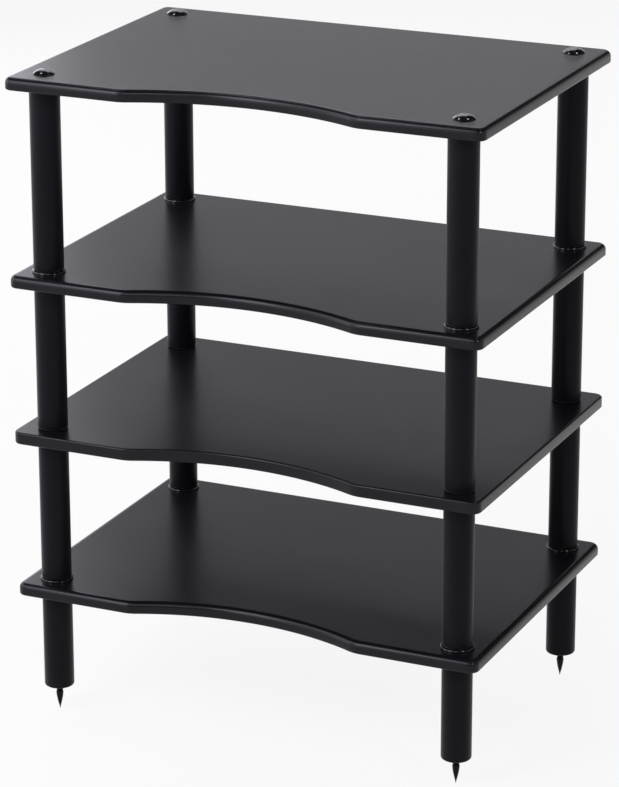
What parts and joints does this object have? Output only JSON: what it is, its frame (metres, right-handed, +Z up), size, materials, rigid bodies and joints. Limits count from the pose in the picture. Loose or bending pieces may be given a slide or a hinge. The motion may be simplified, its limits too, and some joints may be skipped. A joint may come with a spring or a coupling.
{
  "type": "audio equipment rack",
  "caption": "Free-standing audio equipment rack: flat shelves with bowed front edges, clamped between round tube posts on adjustable floor spikes.",
  "frame": {"origin": "on the floor at the height of the spike points, under the middle of the shelves' overall rectangle", "axes": "+X across the width, to the right as seen from the bowed front; +Y from the bowed front to the straight back; +Z up"},
  "size_m": [0.6, 0.422, 0.808],
  "materials": {
    "shelf": "fibreboard wrapped in satin black vinyl",
    "post": "satin black powder coat on steel tube",
    "ring": "glossy black moulded ring",
    "dome_bolt": "polished gloss black",
    "stud": "zinc-plated threaded rod",
    "spike": "black oxide, turned to a point"
  },
  "bodies": {
    "rack": {"top_shelf": "shelf", "upper_shelf": "shelf", "lower_shelf": "shelf", "bottom_shelf": "shelf", "upper_post_front_left": "post", "upper_post_front_right": "post", "upper_post_back_left": "post", "upper_post_back_right": "post", "middle_post_front_left": "post", "middle_post_front_right": "post", "middle_post_back_left": "post", "middle_post_back_right": "post", "lower_post_front_left": "post", "lower_post_front_right": "post", "lower_post_back_left": "post", "lower_post_back_right": "post", "foot_post_front_left": "post", "foot_post_front_right": "post", "foot_post_back_left": "post", "foot_post_back_right": "post", "ring_washer_upper_front_left": "ring", "ring_washer_upper_front_right": "ring", "ring_washer_upper_back_left": "ring", "ring_washer_upper_back_right": "ring", "ring_washer_lower_front_left": "ring", "ring_washer_lower_front_right": "ring", "ring_washer_lower_back_left": "ring", "ring_washer_lower_back_right": "ring", "dome_bolt_front_left": "dome_bolt", "dome_bolt_front_right": "dome_bolt", "dome_bolt_back_left": "dome_bolt", "dome_bolt_back_right": "dome_bolt", "upper_stud_front_left": "stud", "upper_stud_front_right": "stud", "upper_stud_back_left": "stud", "upper_stud_back_right": "stud", "lower_stud_front_left": "stud", "lower_stud_front_right": "stud", "lower_stud_back_left": "stud", "lower_stud_back_right": "stud", "bottom_stud_front_left": "stud", "bottom_stud_front_right": "stud", "bottom_stud_back_left": "stud", "bottom_stud_back_right": "stud"},
    "spike_front_left": {"floor_spike_front_left": "spike"},
    "spike_front_right": {"floor_spike_front_right": "spike"},
    "spike_back_left": {"floor_spike_back_left": "spike"},
    "spike_back_right": {"floor_spike_back_right": "spike"}
  },
  "joints": [
    {"name": "spike_front_left_thread", "type": "slide", "parent": "rack", "child": "spike_front_left", "axis": [0, 0, -1], "range_m": [-0.008, 0.012]},
    {"name": "spike_front_right_thread", "type": "slide", "parent": "rack", "child": "spike_front_right", "axis": [0, 0, -1], "range_m": [-0.008, 0.012]},
    {"name": "spike_back_left_thread", "type": "slide", "parent": "rack", "child": "spike_back_left", "axis": [0, 0, -1], "range_m": [-0.008, 0.012]},
    {"name": "spike_back_right_thread", "type": "slide", "parent": "rack", "child": "spike_back_right", "axis": [0, 0, -1], "range_m": [-0.008, 0.012]}
  ]
}
